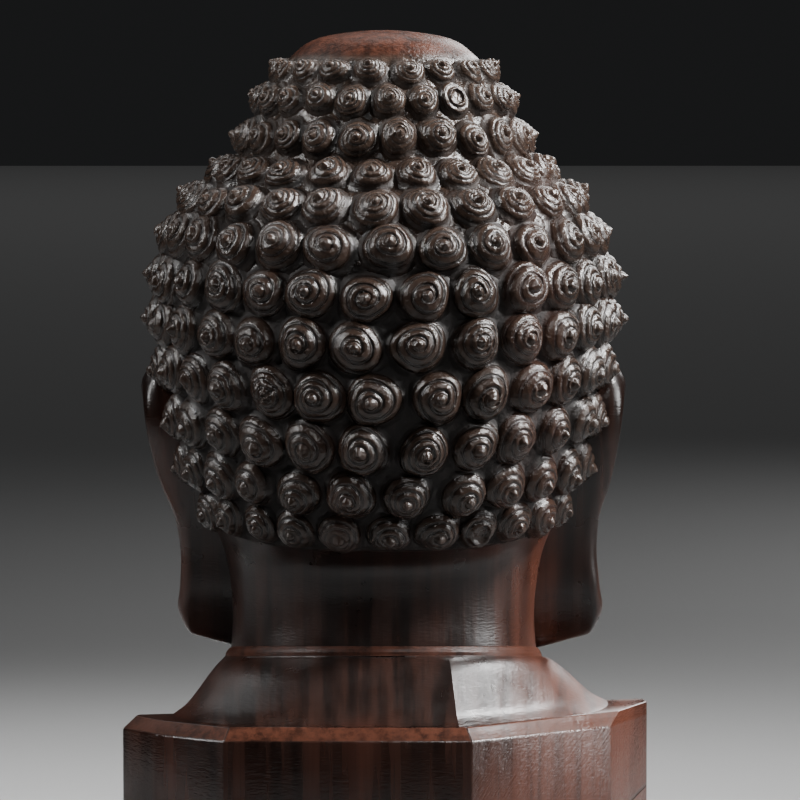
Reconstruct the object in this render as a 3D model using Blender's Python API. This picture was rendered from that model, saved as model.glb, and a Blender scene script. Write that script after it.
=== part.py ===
"""Carved hardwood Buddha head on its own faceted pedestal, all cut from one block of wood.

Metres, +Z up, origin at the centre of the underside. The face looks along -Y.
The head, its ears, curls and face are one carved form, so they are given in head units: a share of
the head's height. The pedestal below the collar has its own real sizes.
"""

import math

import bmesh
import bpy
import numpy as np
from mathutils import Vector
from mathutils.geometry import delaunay_2d_cdt

# Driving sizes
HEAD_HEIGHT = 0.113  # bottom of the neck at its sides, up to the crown
BLOCK_HEIGHT = 0.0287  # underside to the flat top of the pedestal's block
BLOCK_WIDTH = 0.0954
BLOCK_DEPTH = 0.084
TOP_CHAMFER = 0.0023  # along the block's top edges, save the wide side on -X
COLLAR_LEVEL = 0.0370  # where the neck leaves the pedestal, at its sides
COLLAR_RISE = 0.0030  # how much higher the collar stands at the nape
COLLAR_WIDTH, COLLAR_DEPTH = 0.0572, 0.0540  # the lower edge of the band round the neck's foot
COLLAR_BAND = 0.0016  # width and height of that bevelled band
NECK_SINK = 0.0060  # how deep the neck's own mesh runs into the shoulders
FOOT_SINK = 0.0020  # how deep the shoulders' own mesh runs into the block

# One head unit. The carving below counts 113 of them from the bottom of the neck to the crown.
HEAD_UNITS = 113
UNIT = HEAD_HEIGHT / HEAD_UNITS
HEAD_CENTRE_Z = 60
SKIN_STEP = 1.5  # the skin lies this far under the hair
BLADE = 1.8  # width of the blade that cut the face

# Colour of the waxed wood
WOOD_COLOUR = (0.055, 0.026, 0.018, 1)
WOOD_ROUGHNESS = 0.38

# The form of the head, in head units, as level curves from the crown (0) to the bottom of the neck (15).
# level, side half-width and height, front reach and height, back reach and height
LEVELS = (
    (-0.5, -11.5, 111.6, -11.5, 111.6, -11.5, 111.6),
    (0.0, 0.0, 113.0, 0.0, 113.0, 0.0, 113.0),
    (0.5, 11.5, 111.6, 11.5, 111.6, 11.5, 111.6),
    (1.0, 16.7, 108.2, 16.7, 108.2, 16.7, 108.2),
    (1.5, 18.2, 106.2, 18.2, 106.2, 18.2, 106.1),
    (2.5, 21.6, 100.5, 21.6, 100.5, 21.6, 100.6),
    (3.5, 24.3, 94.0, 24.3, 94.2, 24.3, 94.0),
    (4.0, 25.7, 90.4, 25.8, 90.8, 25.7, 90.3),
    (4.5, 28.6, 87.6, 28.8, 88.2, 28.8, 87.3),
    (5.5, 33.8, 82.5, 34.3, 83.4, 34.4, 81.9),
    (6.5, 37.3, 76.3, 38.3, 77.6, 38.8, 74.9),
    (7.5, 39.1, 69.1, 40.8, 69.0, 41.4, 66.7),
    (8.5, 39.5, 61.5, 41.6, 59.5, 42.8, 58.2),
    (9.5, 38.9, 53.5, 41.6, 50.0, 43.0, 49.1),
    (10.5, 37.3, 44.5, 41.2, 40.0, 41.9, 40.2),
    (11.5, 35.2, 36.0, 40.6, 29.5, 39.2, 31.9),
    (12.5, 33.0, 28.0, 39.0, 18.0, 35.2, 25.0),
    (13.0, 31.8, 23.5, 36.0, 12.0, 32.8, 21.7),
    (13.5, 30.2, 18.0, 30.5, 8.2, 29.6, 17.6),
    (14.0, 29.0, 12.0, 27.6, 5.0, 27.8, 12.8),
    (15.0, 28.4, 0.0, 26.8, -3.5, 27.0, 3.6),
)
NECK_BOTTOM_LEVEL = 15.0

# Where the hair ends, in levels, by the angle in degrees from the face (0) round to the nape (180).
HAIRLINE = (
    (-20, 7.05),
    (0, 7.0),
    (20, 7.05),
    (35, 7.5),
    (48, 8.35),
    (58, 9.1),
    (65, 9.4),
    (73, 9.45),
    (82, 9.4),
    (92, 9.6),
    (96, 10.8),
    (99, 11.8),
    (104, 12.5),
    (112, 12.83),
    (125, 13.0),
    (140, 13.05),
    (180, 13.05),
    (200, 13.05),
)

# The rows of curls: level, number in a full ring, turn of the first one from the nape in degrees,
# radius and height in head units.
CURL_ROWS = (
    (1.5, 18, -7.2, 3.4, 3.3),
    (2.5, 22, 2.2, 3.5, 3.5),
    (3.5, 22, 6.1, 3.8, 3.6),
    (4.5, 23, -4.5, 4.1, 3.7),
    (5.5, 25, -2.4, 4.4, 3.9),
    (6.5, 26, 0.8, 4.6, 4.1),
    (7.5, 27, -3.8, 4.8, 4.3),
    (8.5, 27, -5.5, 4.9, 4.4),
    (9.5, 27, -1.4, 4.9, 4.4),
    (10.5, 26, -5.0, 4.7, 4.3),
    (11.5, 25, 6.4, 4.6, 4.0),
    (12.45, 27, 1.5, 4.1, 3.5),
)
CURL_HAIRLINE_GAP = 0.36  # a curl's middle stays this many levels above the hairline

# The ear's outline seen from the side, in head units: forward reach, back reach and height.
EAR_TOP, EAR_BOTTOM = 54.5, 1.4
EAR_SHAPE = (
    # height, front edge, back edge, outer face's distance from the middle plane
    (1.4, -9.0, 3.6, 38.3),
    (6.0, -9.4, 4.0, 39.0),
    (12.0, -9.8, 4.6, 38.2),
    (20.0, -9.6, 4.8, 37.6),
    (28.0, -9.2, 6.2, 38.6),
    (36.0, -9.2, 8.6, 40.6),
    (44.0, -8.6, 10.4, 42.0),
    (50.0, -7.4, 10.4, 42.4),
    (54.5, -6.0, 9.6, 42.0),
)
EAR_ROOT = 25.0  # inner end of the ear's own mesh, inside the head
EAR_LEAN = 1.2  # the hand-cut lobes hang this far off to -X
EAR_RIM = 2.2  # rounding of the ear's outer edge

# The pedestal's block seen from above, as shares of half its width and half its depth, anticlockwise.
# Its facets are cut by hand and unequal.
BLOCK_OUTLINE = (
    (0.583, 1.0),
    (-0.323, 1.0),
    (-0.847, 0.452),
    (-1.0, -0.019),
    (-0.966, -0.62),
    (-0.61, -0.97),
    (0.61, -0.97),
    (0.95, -0.62),
    (0.969, 0.512),
    (0.843, 0.726),
)
CHAMFERED_SIDES = (0, 1, 4, 5, 6, 7, 8, 9)  # each starts at the corner of that number

# The top falls away towards the chest in front of this line across the block.
CREST = ((0.0418, 0.0195), (-0.0458, -0.0052))
CHEST_FALL = math.radians(14)

# The shoulders' facet edges: where each starts at the collar and ends at the block, in millimetres.
SHOULDER_EDGES = (
    # collar x and y, foot x and y
    (11.0, 25.2, 24.2, 39.7),
    (-11.3, 25.2, -13.2, 39.7),
    (-22.0, 17.6, -27.6, 26.8),
    (-27.8, 7.2, -38.6, 16.6),
    (-28.5, -3.0, -41.4, -1.5),
    (-26.0, -12.0, -36.5, -17.0),
    (-17.0, -22.0, -24.5, -34.0),
    (0.0, -27.2, 0.0, -36.6),
    (17.0, -22.0, 24.5, -34.0),
    (26.0, -12.0, 36.0, -17.0),
    (28.5, -1.0, 37.0, 3.0),
    (26.5, 10.5, 37.6, 26.0),
)
SHOULDER_PROFILE = (
    # share of the way out, share of the height left, from the collar to the block
    (0.0, 1.0),
    (0.14, 0.95),
    (0.34, 0.76),
    (0.56, 0.46),
    (0.78, 0.17),
    (1.0, 0.0),
)
POINTS_A_FACET = 3


def eased(value, low, high):
    """0 below low, 1 above high, and a smooth step between them."""
    share = np.clip((value - low) / (high - low), 0, 1)
    return share * share * (3 - 2 * share)


def through(at, knots, values):
    """A smooth curve through the values at the knots."""
    knots = np.asarray(knots, float)
    values = np.asarray(values, float)
    gaps = np.diff(knots)
    rises = np.diff(values) / gaps
    slopes = np.empty(len(knots))
    slopes[0], slopes[-1] = rises[0], rises[-1]
    slopes[1:-1] = (rises[:-1] * gaps[1:] + rises[1:] * gaps[:-1]) / (gaps[1:] + gaps[:-1])
    at = np.clip(at, knots[0], knots[-1])
    i = np.clip(np.searchsorted(knots, at, side="right") - 1, 0, len(gaps) - 1)
    s = (at - knots[i]) / gaps[i]
    start = values[i] * (1 + 2 * s) * (1 - s) ** 2 + gaps[i] * slopes[i] * s * (1 - s) ** 2
    return start + values[i + 1] * s * s * (3 - 2 * s) + gaps[i] * slopes[i + 1] * s * s * (s - 1)


def bump(x, z, middle_x, middle_z, reach_x, reach_z):
    """A soft hill, 1 high, round a place on the face."""
    return np.exp(-(((x - middle_x) / reach_x) ** 2) - ((z - middle_z) / reach_z) ** 2)


def hairline(angle):
    """The level at which the hair ends, by the angle from the face in degrees."""
    angles, levels = zip(*HAIRLINE)
    return through(np.abs(angle), angles, levels)


def brow_and_socket(s, z):
    """The arched brow and the hollow under it. s is the distance from the face's middle line."""
    arch = 49.3 + 6.4 * np.sin(math.pi * np.clip((s - 2.0) / 28.5, 0, 1) ** 0.85)
    above = z - arch
    across = eased(s, 2.5, 8.0) * (1 - eased(s, 26.0, 34.0))
    hollow = eased(-above, -0.4, 3.4) * (1 - eased(-above, 6.5, 15.0))
    return 0.55 * np.exp(-((above / 1.2) ** 2)) * across - 2.7 * hollow * across


def eye(s, z):
    """The eyeball under its heavy lid, half closed and looking down."""
    inner, outer = 6.6, 26.2
    v = np.clip((s - inner) / (outer - inner), 0, 1)
    corners = 43.0 + 1.5 * v
    lid_edge = corners - 1.7 * np.sin(math.pi * v)
    lower_edge = corners - 3.3 * np.sin(math.pi * v) ** 0.9
    ball = np.clip(1 - ((s - 16.4) / 11.0) ** 2 - ((z - 44.9) / 6.1) ** 2, 0, 1) ** 0.62
    inside = eased(s, inner, inner + 1.2) * (1 - eased(s, outer - 1.2, outer))
    opening = eased(lid_edge - z, -0.25, 0.25) * eased(z - lower_edge, -0.25, 0.25) * inside
    lid = np.exp(-(((z - lid_edge - 0.55) / 0.7) ** 2)) * inside
    lower_lid = np.exp(-(((z - lower_edge + 0.5) / 0.6) ** 2)) * inside
    return 3.3 * ball - 0.8 * opening + 0.35 * lid + 0.3 * lower_lid


def nose(s, z):
    """The straight nose, its wings and nostrils."""
    heights = (28.0, 29.6, 30.6, 31.6, 32.8, 34.2, 36.5, 40.0, 44.0, 48.0, 51.0, 55.0)
    ridge = through(z, heights, (0, 0.7, 3.0, 6.2, 8.1, 8.4, 7.5, 5.7, 4.0, 2.5, 1.2, 0))
    width = through(z, heights, (5.0, 5.6, 6.6, 7.4, 7.9, 7.6, 6.5, 5.0, 4.0, 3.4, 3.4, 3.8))
    form = ridge * (1 - eased(s / width, 0.05, 1.15))
    wings = 2.4 * bump(s, z, 5.9, 33.2, 2.3, 2.3)
    nostrils = 1.6 * bump(s, z, 3.1, 30.9, 1.3, 1.0)
    return form + wings - nostrils


def mouth(s, z):
    """The full, calm lips and the groove above them."""
    half = 10.2
    v = np.clip(s / half, 0, 1)
    line = 24.0 + 1.1 * v * v - 0.3 * np.exp(-((s / 2.0) ** 2))
    fade = (1 - v**4) ** 0.8
    bow = 0.5 * np.exp(-(((s - 2.6) / 1.7) ** 2)) - 0.35 * np.exp(-((s / 1.1) ** 2))
    top = line + (3.1 + bow) * (1 - v**2.2) + 0.05
    bottom = line - 4.2 * (1 - v * v) ** 0.8 - 0.05
    upper = np.clip((z - line) / (top - line), 0, 1)
    lower = np.clip((line - z) / (line - bottom), 0, 1)
    lips = 1.7 * (1 - np.abs(2 * upper - 1) ** 3) + 2.1 * (1 - np.abs(2 * lower - 1) ** 2.6)
    parting = 0.9 * np.exp(-(((z - line) / 0.6) ** 2)) * (1 - eased(s, half, half + 1.5))
    groove = 0.55 * bump(s, z, 0, 29.2, 1.2, 2.0)
    corners = 0.8 * bump(s, z, 11.2, 25.2, 1.7, 1.8)
    under = 0.9 * bump(s, z, 0, 18.0, 6.5, 1.8)
    return 2.2 * bump(s, z, 0, 24, 12, 9) + lips * fade - parting - groove - corners - under


def face(x, z):
    """How far the carving of the face stands out, in head units."""
    s = np.abs(x)
    flesh = 3.1 * bump(s, z, 0, 14.0, 7.5, 5.0) + 1.4 * bump(s, z, 21, 32, 10, 11)
    fold = 0.8 * bump(s, z, 11.8, 30.0, 2.8, 5.0)
    mark = 0.9 * np.sqrt(np.clip(1 - (s * s + (z - 57.5) ** 2) / 2.9, 0, 1))
    return brow_and_socket(s, z) + eye(s, z) + nose(s, z) + mouth(s, z) + flesh - fold + mark


def softened_face(x, z):
    """The face as a broad blade would leave it: each place is the mean of those round it."""
    steps = (-BLADE / 2, 0, BLADE / 2)
    return sum(face(x + i, z + j) for i in steps for j in steps) / 9


def form_at(level, angle):
    """The plain form of the head, with no curls or face, at levels and angles in degrees from the face."""
    knots, side, side_z, front, front_z, back, back_z = zip(*LEVELS)
    a = np.radians(angle)
    ahead = np.cos(a)
    round_power = 1 - 0.07 * eased(level, 4.5, 6.5) * (1 - eased(level, 12.5, 13.5))
    in_front = ahead > 0
    reach = np.where(in_front, through(level, knots, front), through(level, knots, back))
    height = np.where(in_front, through(level, knots, front_z), through(level, knots, back_z))
    x = through(level, knots, side) * np.sign(np.sin(a)) * np.abs(np.sin(a)) ** round_power
    y = -reach * np.sign(ahead) * np.abs(ahead) ** round_power
    z = height * ahead**2 + through(level, knots, side_z) * (1 - ahead**2)
    return np.stack([x, y, z], axis=-1)


def skin_at(level, angle):
    """The head's surface without its curls: the skin lies lower than the hair, and the face is carved on it."""
    points = form_at(level, angle)
    bare = eased(level, hairline(angle) - 0.06, hairline(angle) + 0.06)
    bare = bare * eased(level, 4, 5)
    outwards = points - (0, 0, HEAD_CENTRE_Z)
    outwards /= np.linalg.norm(outwards, axis=-1, keepdims=True)
    points = points - outwards * (SKIN_STEP * bare)[..., None]
    facing = eased(np.cos(np.radians(angle)), 0.15, 0.5)
    points[..., 1] -= softened_face(points[..., 0], points[..., 2]) * facing * bare
    return points


def curls():
    """Each curl's row, level and angle from the face in degrees."""
    found = []
    for row, (level, count, turn, _radius, _height) in enumerate(CURL_ROWS):
        for i in range(count):
            from_nape = (turn + 360 * i / count + 180) % 360 - 180
            angle = -math.copysign(180 - abs(from_nape), from_nape)
            if level + CURL_HAIRLINE_GAP < hairline(angle):
                found.append((row, level, angle))
    return found


def on_curl(level, angle, across, up, height):
    """A point of a curl, from its middle by head units across and up the head, raised by height."""
    small = 0.01
    middle = form_at(np.array([level]), np.array([angle]))[0]
    along = (form_at(np.array([level]), np.array([angle + small]))[0] - middle) / small
    down = (form_at(np.array([level + small]), np.array([angle]))[0] - middle) / small
    outwards = np.cross(down, along)
    outwards /= np.linalg.norm(outwards)
    levels = level - up / np.linalg.norm(down)
    angles = angle + across / np.linalg.norm(along)
    ground = skin_at(levels, angles)
    return ground, ground + outwards * height[:, None]


def curl_points():
    """Where the curls' points stand on the head, and the points themselves: a tip and two rings of six."""
    turn = np.radians(np.arange(6) * 60.0)
    across = np.concatenate([[0], 0.4 * np.cos(turn), 0.9 * np.cos(turn + math.pi / 6)])
    up = np.concatenate([[0], 0.4 * np.sin(turn), 0.9 * np.sin(turn + math.pi / 6)])
    height = np.array([0.96] + [0.72] * 6 + [0.16] * 6)
    ground, raised = [], []
    for row, level, angle in curls():
        radius, tall = CURL_ROWS[row][3:]
        below, above = on_curl(level, angle, across * radius, up * radius, height * tall)
        ground.append(below)
        raised.append(above)
    return np.concatenate(ground), np.concatenate(raised)


def ring(level, count):
    angles = np.arange(count) * 360 / count - 180 + 180 / count
    return np.full(count, float(level)), angles


def bare_points():
    """Points of the dome, the face, the neck and the strip under the hairline."""
    levels, angles = [np.array([0.0])], [np.array([0.0])]
    for level, count in ((0.45, 8), (0.8, 16), (13.5, 24), (14.2, 24)):
        more_levels, more_angles = ring(level, count)
        levels.append(more_levels)
        angles.append(more_angles)
    fine, coarse = np.arange(9.2, 12.8, 0.15), np.concatenate([np.arange(7.1, 9.1, 0.36), (12.95, 13.25)])
    for rows, step in ((fine, 2.15), (coarse, 5.0)):
        for i, level in enumerate(rows):
            spread = (np.arange(0, 36, step) + (step / 2 if i % 2 else 0)).tolist()
            spread += [40.0, 46.0, 52.0] if i % 2 else [43.0, 49.0, 55.0]
            spread += [62.0, 70.0] if i % 3 == 0 else []
            spread = np.array([-a for a in spread if a > 0] + spread)
            levels.append(np.full(len(spread), level))
            angles.append(spread)
    edge = np.arange(-180.0, 180.0, 7.5)
    for drop in (-0.07, 0.07):
        levels.append(hairline(edge) + drop)
        angles.append(edge)
    levels, angles = np.concatenate(levels), np.concatenate(angles)
    off_hair = (levels > hairline(angles) - 0.08) | (levels < 1)
    return skin_at(levels[off_hair], angles[off_hair])


def head_mesh():
    """The head with its curls, face and neck as one closed mesh, its neck cut off inside the shoulders."""
    ground, raised = curl_points()
    bare = bare_points()
    rim = skin_at(*ring(NECK_BOTTOM_LEVEL, 34))
    ground = np.concatenate([ground, bare, rim])
    raised = np.concatenate([raised, bare, rim])
    way = ground - (0, 0, HEAD_CENTRE_Z)
    way /= np.linalg.norm(way, axis=1, keepdims=True)
    flat = way[:, :2] / (1 + way[:, 2:])
    net = delaunay_2d_cdt([Vector(p) for p in flat], [], [], 0, 1e-6, True)
    mesh = bmesh.new()
    made = [mesh.verts.new(raised[source[0]] * UNIT) for source in net[3]]
    for corners in net[2]:
        mesh.faces.new([made[i] for i in corners])
    bmesh.ops.recalc_face_normals(mesh, faces=mesh.faces)
    open_edges = [e for e in mesh.edges if e.is_boundary]
    grown = bmesh.ops.extrude_edge_only(mesh, edges=open_edges)["geom"]
    lower = [v for v in grown if isinstance(v, bmesh.types.BMVert)]
    for v in lower:
        v.co.z = -NECK_SINK - COLLAR_RISE
    bottom = [e for e in grown if isinstance(e, bmesh.types.BMEdge)]
    bmesh.ops.contextual_create(mesh, geom=bottom)
    bmesh.ops.recalc_face_normals(mesh, faces=mesh.faces)
    bmesh.ops.translate(mesh, verts=mesh.verts, vec=(0, 0, COLLAR_LEVEL))
    return mesh


def ear_relief(forward, height, share):
    """The ear's carving: the rolled rim, the hollow inside it and the long lobe's shallow dip."""
    upper = eased(height, 24, 32)
    rim = np.exp(-(((share - 0.84) / 0.13) ** 2)) * (1 - 0.85 * bump(forward, height, -9, 36, 4, 9))
    hollow = bump(forward, height, -3.5, 37, 4.2, 7.5)
    fold = bump(forward, height, 2.6, 40, 1.7, 8.5)
    dip = bump(forward, height, -2.6, 14, 3.2, 8.5)
    return upper * (1.0 * rim - 2.2 * hollow + 0.7 * fold) - 0.7 * dip


def ear_mesh(side):
    """One ear as a closed slab that reaches into the head. side is 1 on +X and -1 on -X."""
    heights, fronts, backs, outers = (np.array(c) for c in zip(*EAR_SHAPE))
    around = 26
    turn = np.arange(around) * 2 * math.pi / around
    half = (EAR_TOP - EAR_BOTTOM) / 2
    rings = []
    for share in (0.25, 0.5, 0.72, 0.86, 1.0):
        z = EAR_BOTTOM + half * (1 + share * np.sign(np.sin(turn)) * np.abs(np.sin(turn)) ** 0.8)
        front, back = through(z, heights, fronts), through(z, heights, backs)
        across = share * np.sign(np.cos(turn)) * np.abs(np.cos(turn)) ** 0.6
        y = (front + back) / 2 + (back - front) / 2 * across
        rounding = EAR_RIM * (1 - math.sqrt(max(0, 1 - max(0, (share - 0.72) / 0.28) ** 2)))
        x = through(z, heights, outers) + ear_relief(y, z, share) - rounding
        rings.append(np.stack([x, y, z], axis=-1))
    root = rings[-1].copy()
    root[:, 0] = EAR_ROOT
    rings.append(root)
    mesh = bmesh.new()
    made = [[mesh.verts.new(Vector(p) * UNIT) for p in points] for points in rings]
    middle = Vector(rings[0].mean(axis=0)) * UNIT
    centre = mesh.verts.new(middle)
    for i in range(around):
        j = (i + 1) % around
        mesh.faces.new([centre, made[0][i], made[0][j]])
        for inner, outer in zip(made, made[1:]):
            mesh.faces.new([inner[i], outer[i], outer[j], inner[j]])
    mesh.faces.new(made[-1])
    bmesh.ops.scale(mesh, verts=mesh.verts, vec=(side, 1, 1))
    for v in mesh.verts:
        v.co.x -= EAR_LEAN * UNIT * (1 - float(eased(v.co.z / UNIT, 8, 44)))
    bmesh.ops.translate(mesh, verts=mesh.verts, vec=(0, 0, COLLAR_LEVEL))
    bmesh.ops.recalc_face_normals(mesh, faces=mesh.faces)
    return mesh


def cut(mesh, through_point, outwards):
    """Cuts a convex solid by a plane, keeps the side behind it and closes the cut."""
    everything = mesh.verts[:] + mesh.edges[:] + mesh.faces[:]
    done = bmesh.ops.bisect_plane(
        mesh, geom=everything, dist=1e-7, plane_co=through_point, plane_no=outwards, clear_outer=True
    )
    edges = [e for e in done["geom_cut"] if isinstance(e, bmesh.types.BMEdge)]
    if edges:
        bmesh.ops.contextual_create(mesh, geom=edges)


def block_corners():
    return [Vector((x * BLOCK_WIDTH / 2, y * BLOCK_DEPTH / 2, 0)) for x, y in BLOCK_OUTLINE]


def top_level(x, y):
    """The height of the block's top: level at the back and falling away towards the chest."""
    start, end = Vector(CREST[0]), Vector(CREST[1])
    along = (end - start).normalized()
    forwards = (x - start.x) * -along.y + (y - start.y) * along.x
    return BLOCK_HEIGHT - max(0, forwards) * math.tan(CHEST_FALL)


def block_mesh():
    """The pedestal's block: a prism with a falling front and most of its top edges chamfered."""
    corners = block_corners()
    mesh = bmesh.new()
    base = mesh.faces.new([mesh.verts.new(c) for c in corners])
    grown = bmesh.ops.extrude_face_region(mesh, geom=[base])["geom"]
    top = [v for v in grown if isinstance(v, bmesh.types.BMVert)]
    bmesh.ops.translate(mesh, verts=top, vec=(0, 0, BLOCK_HEIGHT))
    start = Vector((*CREST[0], BLOCK_HEIGHT))
    along = (Vector((*CREST[1], BLOCK_HEIGHT)) - start).normalized()
    forwards = Vector((-along.y, along.x, 0))
    cut(mesh, start, forwards * math.sin(CHEST_FALL) + Vector((0, 0, math.cos(CHEST_FALL))))
    for i in CHAMFERED_SIDES:
        ends = []
        for corner in (corners[i], corners[(i + 1) % len(corners)]):
            ends.append(corner + Vector((0, 0, top_level(corner.x, corner.y) - TOP_CHAMFER)))
        side = ends[1] - ends[0]
        outwards = side.cross(Vector((0, 0, 1))).normalized()
        cut(mesh, ends[0], side.cross(Vector((0, 0, 1)) - outwards).normalized())
    bmesh.ops.recalc_face_normals(mesh, faces=mesh.faces)
    return mesh


def on_edges(columns, share):
    """A point between the corners of a closed ring, by a share of the way round."""
    at = share * len(columns)
    i = int(at) % len(columns)
    start, end = Vector(columns[i]), Vector(columns[(i + 1) % len(columns)])
    return start.lerp(end, at - int(at)) * 0.001


def shoulder_point(share, out, left):
    """A point of the shoulders: a share of the way round, a share out to the foot, a share of height left."""
    collar = on_edges([edge[:2] for edge in SHOULDER_EDGES], share)
    foot = on_edges([edge[2:] for edge in SHOULDER_EDGES], share)
    turn = math.atan2(collar.y / COLLAR_DEPTH, collar.x / COLLAR_WIDTH)
    round_one = Vector((math.cos(turn) * COLLAR_WIDTH / 2, math.sin(turn) * COLLAR_DEPTH / 2))
    collar = round_one.lerp(collar, float(eased(out, 0, 0.15)))
    level = COLLAR_LEVEL + COLLAR_RISE * round_one.y / (COLLAR_DEPTH / 2)
    place = collar.lerp(foot, out)
    bottom = top_level(foot.x, foot.y)
    return Vector((place.x, place.y, bottom + (level - bottom) * left))


def shoulder_mesh():
    """The shoulders: curved facets that sweep from the collar's band down to the block."""
    mesh = bmesh.new()
    count = len(SHOULDER_EDGES) * POINTS_A_FACET
    shares = [i / count for i in range(count)]
    rings = []
    band = COLLAR_BAND * 1.4
    inner = []
    for share in shares:
        edge = shoulder_point(share, 0, 1)
        inwards = Vector((edge.x, edge.y, 0)).normalized() * band
        inner.append(mesh.verts.new(edge - inwards + Vector((0, 0, band))))
    rings.append(inner)
    for out, left in SHOULDER_PROFILE:
        rings.append([mesh.verts.new(shoulder_point(share, out, left)) for share in shares])
    rings.append([mesh.verts.new(v.co - Vector((0, 0, FOOT_SINK))) for v in rings[-1]])
    for upper, lower in zip(rings, rings[1:]):
        for i in range(count):
            j = (i + 1) % count
            mesh.faces.new([upper[i], lower[i], lower[j], upper[j]])
    mesh.faces.new(rings[0])
    mesh.faces.new(rings[-1])
    bmesh.ops.recalc_face_normals(mesh, faces=mesh.faces)
    return mesh


def wood():
    """Dark waxed hardwood."""
    material = bpy.data.materials.new("dark_hardwood")
    material.use_nodes = True
    shader = material.node_tree.nodes["Principled BSDF"]
    shader.inputs["Base Color"].default_value = WOOD_COLOUR
    shader.inputs["Roughness"].default_value = WOOD_ROUGHNESS
    shader.inputs["Metallic"].default_value = 0
    return material


def add(name, mesh, is_helper=False):
    """Links a new object that holds the mesh. A helper is joined into the carving and isn't shown."""
    data = bpy.data.meshes.new(name)
    mesh.to_mesh(data)
    mesh.free()
    made = bpy.data.objects.new(name, data)
    bpy.context.scene.collection.objects.link(made)
    if is_helper:
        made.hide_render = True
        made.display_type = "WIRE"
    return made


def clear_scene():
    for found in list(bpy.data.objects):
        bpy.data.objects.remove(found)


def main():
    clear_scene()
    head = add("buddha_head", head_mesh())
    head.data.materials.append(wood())
    joined = [
        add("ear_on_plus_x", ear_mesh(1), is_helper=True),
        add("ear_on_minus_x", ear_mesh(-1), is_helper=True),
        add("shoulders", shoulder_mesh(), is_helper=True),
        add("block", block_mesh(), is_helper=True),
    ]
    for helper in joined:
        union = head.modifiers.new("join_" + helper.name, "BOOLEAN")
        union.operation = "UNION"
        union.object = helper
    head.data.shade_smooth()
    head.data.set_sharp_from_angle(angle=math.radians(35))


main()
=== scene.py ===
import math
import random

import bpy
import numpy as np
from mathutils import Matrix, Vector


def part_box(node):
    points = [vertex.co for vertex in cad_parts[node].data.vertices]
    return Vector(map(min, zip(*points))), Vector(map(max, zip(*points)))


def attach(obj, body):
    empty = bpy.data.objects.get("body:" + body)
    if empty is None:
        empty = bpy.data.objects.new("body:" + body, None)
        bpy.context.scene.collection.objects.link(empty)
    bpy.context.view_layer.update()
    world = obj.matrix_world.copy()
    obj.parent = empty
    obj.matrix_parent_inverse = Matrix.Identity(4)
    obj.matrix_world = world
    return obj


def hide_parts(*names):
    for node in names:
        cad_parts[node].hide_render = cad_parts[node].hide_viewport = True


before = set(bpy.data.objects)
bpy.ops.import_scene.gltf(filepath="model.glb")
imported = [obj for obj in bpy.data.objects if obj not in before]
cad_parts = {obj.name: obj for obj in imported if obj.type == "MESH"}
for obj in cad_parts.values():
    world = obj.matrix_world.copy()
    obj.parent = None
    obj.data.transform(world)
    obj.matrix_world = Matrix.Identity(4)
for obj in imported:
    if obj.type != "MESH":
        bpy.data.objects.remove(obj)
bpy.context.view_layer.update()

bl_info = {
    "name": "Carved Buddha Head",
    "version": (1, 0, 0),
    "blender": (4, 5, 0),
    "location": "View3D > Sidebar > Buddha Head",
    "description": "Carves a dark hardwood Buddha head with spiral curls on a faceted pedestal",
    "category": "Object",
}

NODE = "buddha_head"
BODY = "root"
WOOD_NAME = "waxed_dark_hardwood"
MM = 0.001
NOTES = ("worn", "tooled", "red")

# The head is given in millimetres, counted up from the bottom of the neck at its sides.
CROWN = 113.0
COLLAR_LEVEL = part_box(NODE)[1][2] / MM - CROWN
HEAD_CENTRE_Z = 60.0
SKIN_STEP = 1.5  # the skin lies this far under the hair

# level, side half-width and height, front reach and height, back reach and height
LEVELS = (
    (-0.5, -11.5, 111.6, -11.5, 111.6, -11.5, 111.6),
    (0.0, 0.0, 113.0, 0.0, 113.0, 0.0, 113.0),
    (0.5, 11.5, 111.6, 11.5, 111.6, 11.5, 111.6),
    (1.0, 16.7, 108.2, 16.7, 108.2, 16.7, 108.2),
    (1.5, 18.2, 106.2, 18.2, 106.2, 18.2, 106.1),
    (2.5, 21.6, 100.5, 21.6, 100.5, 21.6, 100.6),
    (3.5, 24.3, 94.0, 24.3, 94.2, 24.3, 94.0),
    (4.0, 25.7, 90.4, 25.8, 90.8, 25.7, 90.3),
    (4.5, 28.6, 87.6, 28.8, 88.2, 28.8, 87.3),
    (5.5, 33.8, 82.5, 34.3, 83.4, 34.4, 81.9),
    (6.5, 37.3, 76.3, 38.3, 77.6, 38.8, 74.9),
    (7.5, 39.1, 69.1, 40.8, 69.0, 41.4, 66.7),
    (8.5, 39.5, 61.5, 41.6, 59.5, 42.8, 58.2),
    (9.5, 38.9, 53.5, 41.6, 50.0, 43.0, 49.1),
    (10.5, 37.3, 44.5, 41.2, 40.0, 41.9, 40.2),
    (11.5, 35.2, 36.0, 40.6, 29.5, 39.2, 31.9),
    (12.5, 33.0, 28.0, 39.0, 18.0, 35.2, 25.0),
    (13.0, 31.8, 23.5, 36.0, 12.0, 32.8, 21.7),
    (13.5, 29.8, 18.0, 30.0, 8.2, 27.6, 17.6),
    (14.0, 28.6, 12.0, 27.2, 5.0, 26.3, 12.8),
    (14.5, 28.0, 6.0, 26.1, 1.0, 26.3, 8.2),
    (15.0, 28.2, 0.0, 26.0, -3.5, 26.9, 3.6),
)
NECK_BOTTOM_LEVEL = 15.0
NECK_RUNS_ON = 5.0  # below its last level, into the shoulders

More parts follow.
